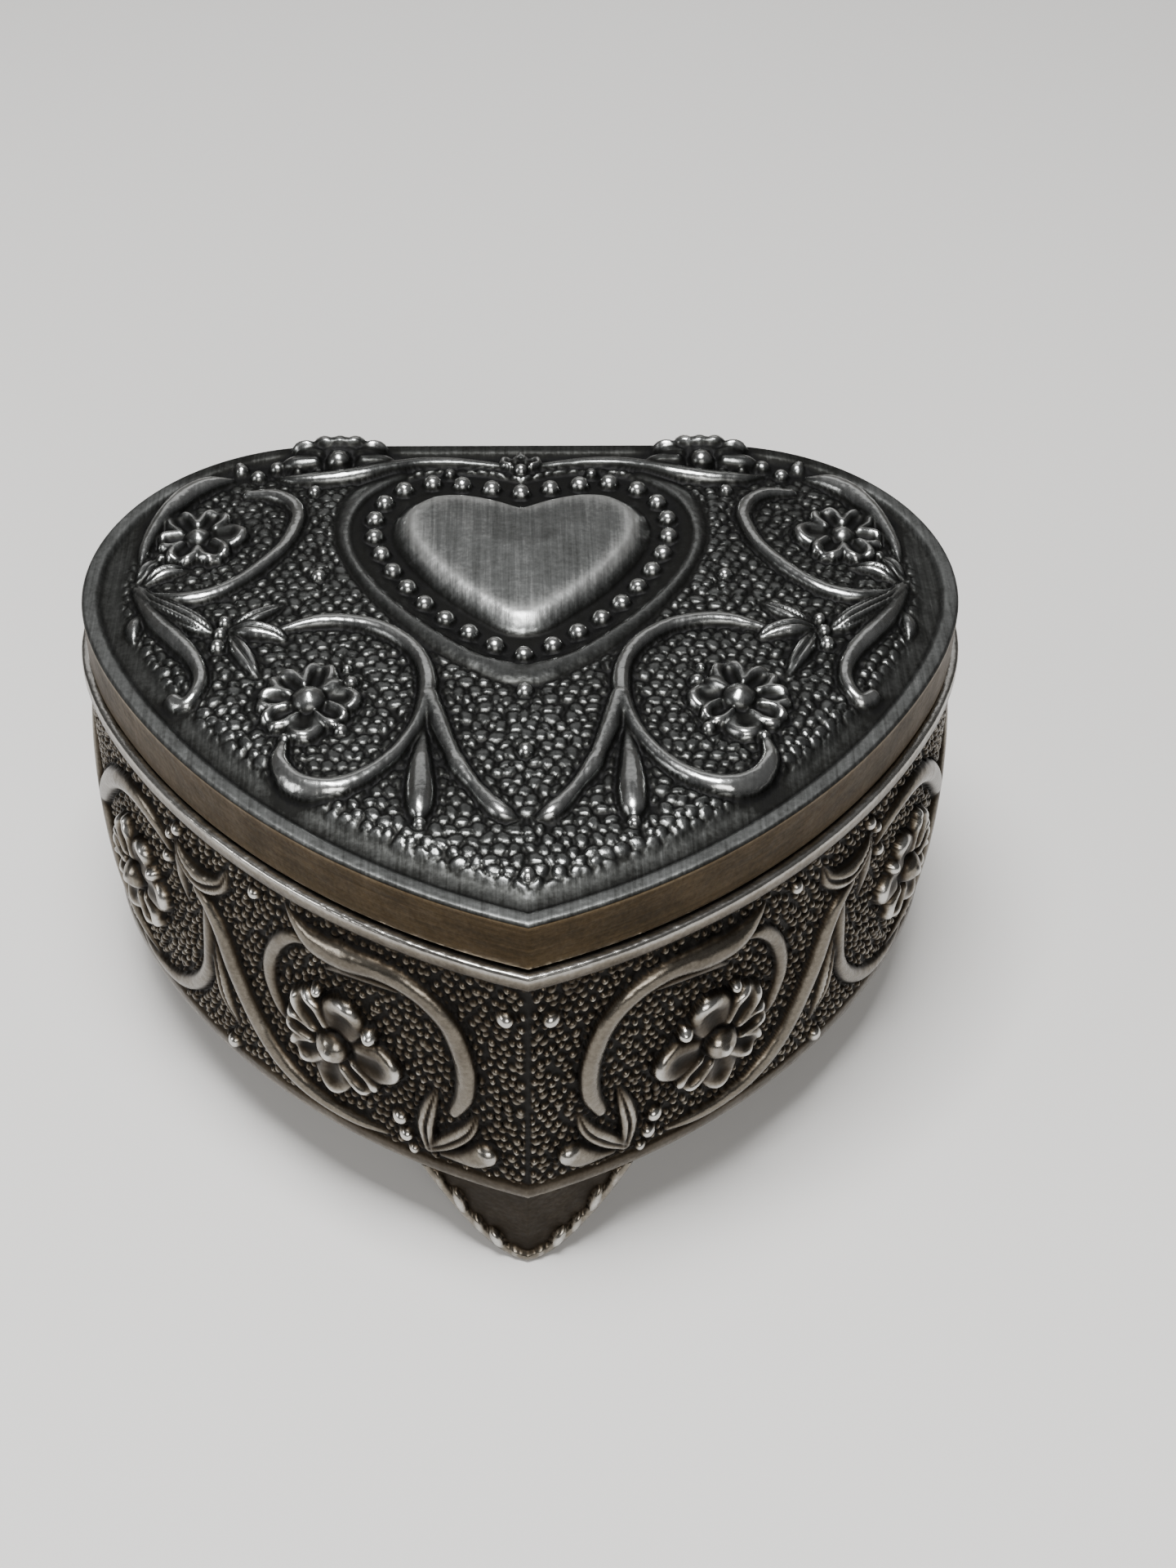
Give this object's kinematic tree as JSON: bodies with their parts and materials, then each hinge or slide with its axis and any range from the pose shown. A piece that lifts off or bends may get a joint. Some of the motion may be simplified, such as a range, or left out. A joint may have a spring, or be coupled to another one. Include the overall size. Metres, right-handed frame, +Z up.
{
  "type": "heart-shaped trinket box",
  "caption": "Heart-shaped cast metal trinket box on bracket feet, with a hinged relief lid and a velvet-lined well for small jewellery.",
  "frame": {"origin": "middle of the object's width and depth, on the surface the feet stand on", "axes": "+X to the right across the heart, +Y from the heart's point to the hinge, +Z up through the lid"},
  "size_m": [0.092, 0.0778, 0.0538],
  "materials": {
    "pewter": "antiqued pewter plate, dark recesses, worn high points",
    "hinge_metal": "dull plated steel",
    "card": "stiff card",
    "velvet": "short-pile velvet"
  },
  "bodies": {
    "box": {"body_shell": "pewter", "base_plate": "pewter", "front_foot": "pewter", "rear_left_foot": "pewter", "rear_right_foot": "pewter", "body_hinge_leaf": "hinge_metal", "body_hinge_rivets": "hinge_metal", "hinge_pin": "hinge_metal", "floor_card": "card", "floor_velvet": "velvet", "wall_velvet": "velvet"},
    "lid": {"lid_shell": "pewter", "lid_hinge_leaf": "hinge_metal", "lid_hinge_rivets": "hinge_metal", "lid_card": "card", "lid_velvet": "velvet"}
  },
  "joints": [
    {"name": "lid_hinge", "type": "hinge", "parent": "box", "child": "lid", "pos_m": [0, 0.03645, 0.04465], "axis": [-1, 0, 0], "range_deg": [0, 100]}
  ]
}
